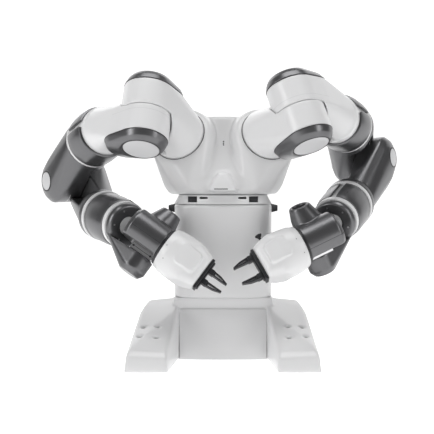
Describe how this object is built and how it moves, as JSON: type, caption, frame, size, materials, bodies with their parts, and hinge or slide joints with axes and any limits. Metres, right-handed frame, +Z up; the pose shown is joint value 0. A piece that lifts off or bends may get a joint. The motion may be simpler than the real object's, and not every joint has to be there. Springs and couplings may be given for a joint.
{
  "type": "dual-arm collaborative robot",
  "caption": "Dual-arm robot on a boxy pedestal with splayed feet; its jointed arms end in finger grippers for small assembly and handling work.",
  "frame": {"origin": "on the floor plane under the pedestal, midway between the arms, 53.55 mm behind the shoulder joints", "axes": "+Z up, -Y out of the front of the robot, +X to the robot's left arm"},
  "size_m": [0.6625, 0.45, 0.5172],
  "materials": {
    "white_paint": "satin white paint on cast shells",
    "grey_casting": "satin dark grey paint",
    "grey_plastic": "light grey moulded discs",
    "black_plastic": "satin black",
    "cup_rubber": "matt black rubber",
    "green_board": "circuit board",
    "steel": "plain steel"
  },
  "bodies": {
    "base": {"base_casting": "white_paint", "front_panel": "white_paint", "column_cover": "white_paint", "rear_cabinet": "white_paint", "connector_panel": "black_plastic", "control_board": "green_board", "power_supply": "steel", "cooling_fan": "black_plastic", "waist_plate": "white_paint", "torso_shell": "white_paint"},
    "right_link_1": {"right_shoulder_housing": "white_paint", "right_shoulder_cap": "grey_casting", "right_shoulder_disc": "grey_plastic", "right_shoulder_drive": "steel"},
    "right_link_2": {"right_upper_arm": "white_paint", "right_upper_arm_cap": "grey_casting", "right_upper_arm_disc": "grey_plastic", "right_upper_cover_front": "grey_casting", "right_upper_cover_rear": "grey_casting"},
    "right_link_3": {"right_elbow_housing": "grey_casting", "right_elbow_housing_disc": "grey_plastic"},
    "right_link_4": {"right_elbow_neck": "grey_casting", "right_elbow_neck_disc": "grey_plastic"},
    "right_link_5": {"right_forearm_frame": "white_paint", "right_forearm_cover": "grey_casting", "right_wrist_fork": "grey_casting"},
    "right_link_6": {"right_wrist_casing": "grey_casting", "right_wrist_disc": "grey_plastic", "right_wrist_clamp": "steel"},
    "right_link_7": {"right_tool_flange": "black_plastic", "right_gripper_body": "white_paint", "right_gripper_plate": "black_plastic"},
    "right_finger_a_body": {"right_finger_a": "black_plastic"},
    "right_finger_b_body": {"right_finger_b": "black_plastic"},
    "left_link_1": {"left_shoulder_housing": "white_paint", "left_shoulder_cap": "grey_casting", "left_shoulder_disc": "grey_plastic", "left_shoulder_drive": "steel"},
    "left_link_2": {"left_upper_arm": "white_paint", "left_upper_arm_cap": "grey_casting", "left_upper_arm_disc": "grey_plastic", "left_upper_cover_front": "grey_casting", "left_upper_cover_rear": "grey_casting"},
    "left_link_3": {"left_elbow_housing": "grey_casting", "left_elbow_housing_disc": "grey_plastic"},
    "left_link_4": {"left_elbow_neck": "grey_casting", "left_elbow_neck_disc": "grey_plastic"},
    "left_link_5": {"left_forearm_frame": "white_paint", "left_forearm_cover": "grey_casting", "left_wrist_fork": "grey_casting"},
    "left_link_6": {"left_wrist_casing": "grey_casting", "left_wrist_disc": "grey_plastic", "left_wrist_clamp": "steel"},
    "left_link_7": {"left_tool_flange": "black_plastic", "left_gripper_body": "white_paint", "left_gripper_plate": "black_plastic", "left_suction_cup": "cup_rubber"},
    "left_finger_a_body": {"left_finger_a": "black_plastic"},
    "left_finger_b_body": {"left_finger_b": "black_plastic"}
  },
  "joints": [
    {"name": "right_joint_1", "type": "hinge", "parent": "base", "child": "right_link_1", "pos_m": [-0.0725, -0.05355, 0.38962], "axis": [-0.3421, -0.8138, 0.4698], "range_deg": [-134, 11]},
    {"name": "right_joint_2", "type": "hinge", "parent": "right_link_1", "child": "right_link_2", "pos_m": [-0.13473, -0.12444, 0.43438], "axis": [0.1039, 0.4642, 0.8796], "range_deg": [-11, 35]},
    {"name": "right_joint_3", "type": "hinge", "parent": "right_link_2", "child": "right_link_3", "pos_m": [-0.24624, 0.00032, 0.38172], "axis": [-0.4955, 0.791, -0.3589], "range_deg": [-5, 160]},
    {"name": "right_joint_4", "type": "hinge", "parent": "right_link_3", "child": "right_link_4", "pos_m": [-0.27699, 0.05004, 0.31438], "axis": [-0.8459, -0.5333, -0.0075], "range_deg": [-8, 11]},
    {"name": "right_joint_5", "type": "hinge", "parent": "right_link_4", "child": "right_link_5", "pos_m": [-0.19352, -0.08141, 0.24735], "axis": [0.5271, -0.8337, -0.1645], "range_deg": [-136, 136]},
    {"name": "right_joint_6", "type": "hinge", "parent": "right_link_5", "child": "right_link_6", "pos_m": [-0.12383, -0.15133, 0.21478], "axis": [0.5796, 0.2111, 0.7871], "range_deg": [-50, 26]},
    {"name": "right_joint_7", "type": "hinge", "parent": "right_link_6", "child": "right_link_7", "pos_m": [-0.10008, -0.18164, 0.20542], "axis": [0.8149, -0.1451, -0.5612], "range_deg": [-132, 160]},
    {"name": "right_finger_a_slide", "type": "slide", "parent": "right_link_7", "child": "right_finger_a_body", "axis": [-0.5765, -0.3028, -0.7589], "range_m": [-0.013, 0.0057]},
    {"name": "right_finger_b_slide", "type": "slide", "parent": "right_link_7", "child": "right_finger_b_body", "axis": [0.5765, 0.3028, 0.7589], "range_m": [-0.013, 0.0057]},
    {"name": "left_joint_1", "type": "hinge", "parent": "base", "child": "left_link_1", "pos_m": [0.0725, -0.05355, 0.38962], "axis": [0.3421, -0.8138, 0.4698], "range_deg": [-4, 104]},
    {"name": "left_joint_2", "type": "hinge", "parent": "left_link_1", "child": "left_link_2", "pos_m": [0.13347, -0.12177, 0.43991], "axis": [0.2958, -0.3813, -0.8758], "range_deg": [-6, 16]},
    {"name": "left_joint_3", "type": "hinge", "parent": "left_link_2", "child": "left_link_3", "pos_m": [0.23163, 0.02071, 0.41104], "axis": [0.419, 0.8758, -0.2398], "range_deg": [-160, 8]},
    {"name": "left_joint_4", "type": "hinge", "parent": "left_link_3", "child": "left_link_4", "pos_m": [0.26396, 0.07889, 0.35169], "axis": [-0.9079, 0.4086, -0.094], "range_deg": [-9, 12]},
    {"name": "left_joint_5", "type": "hinge", "parent": "left_link_4", "child": "left_link_5", "pos_m": [0.21343, -0.05447, 0.26006], "axis": [-0.3599, -0.8745, -0.3252], "range_deg": [-160, 160]},
    {"name": "left_joint_6", "type": "hinge", "parent": "left_link_5", "child": "left_link_6", "pos_m": [0.15417, -0.13017, 0.2205], "axis": [0.3695, 0.1865, -0.9103], "range_deg": [-50, 20]},
    {"name": "left_joint_7", "type": "hinge", "parent": "left_link_6", "child": "left_link_7", "pos_m": [0.13613, -0.16257, 0.20654], "axis": [-0.8852, -0.2274, -0.4058], "range_deg": [-136, 136]},
    {"name": "left_finger_a_slide", "type": "slide", "parent": "left_link_7", "child": "left_finger_a_body", "axis": [-0.465, 0.4032, 0.7882], "range_m": [-0.0065, 0.0132]},
    {"name": "left_finger_b_slide", "type": "slide", "parent": "left_link_7", "child": "left_finger_b_body", "axis": [0.465, -0.4032, -0.7882], "range_m": [-0.0065, 0.0132]}
  ],
  "couplings": [
    {"joint": "right_finger_b_slide", "follows": "right_finger_a_slide", "ratio": 1},
    {"joint": "left_finger_b_slide", "follows": "left_finger_a_slide", "ratio": 1}
  ]
}
